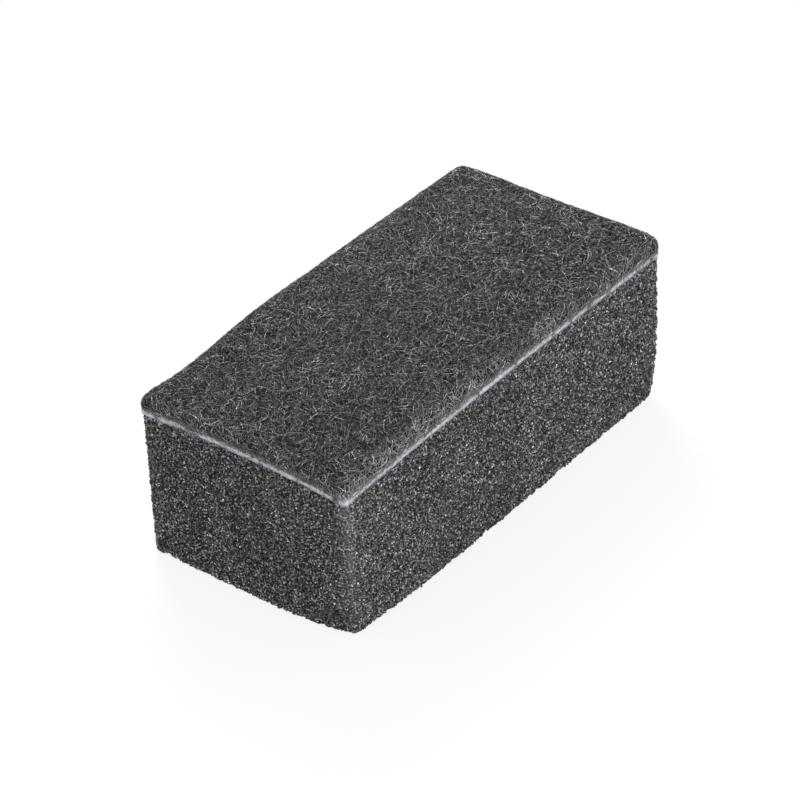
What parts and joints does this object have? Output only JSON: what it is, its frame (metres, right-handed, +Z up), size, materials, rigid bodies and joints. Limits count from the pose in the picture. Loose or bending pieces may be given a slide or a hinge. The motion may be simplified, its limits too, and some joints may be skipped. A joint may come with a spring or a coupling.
{
  "type": "cleaning sponge",
  "caption": "Rectangular dark grey foam cleaning sponge with a fibrous felt pad glued over its whole top face.",
  "frame": {"origin": "middle of the face it rests on", "axes": "+X along the block's long side, +Z up from the rest face through the felt"},
  "size_m": [0.1322, 0.0666, 0.0508],
  "materials": {
    "foam": "matte",
    "adhesive": "matte",
    "felt": "matte"
  },
  "bodies": {
    "root": {"foam_block": "foam", "adhesive_layer": "adhesive", "felt_pad": "felt"}
  },
  "joints": []
}
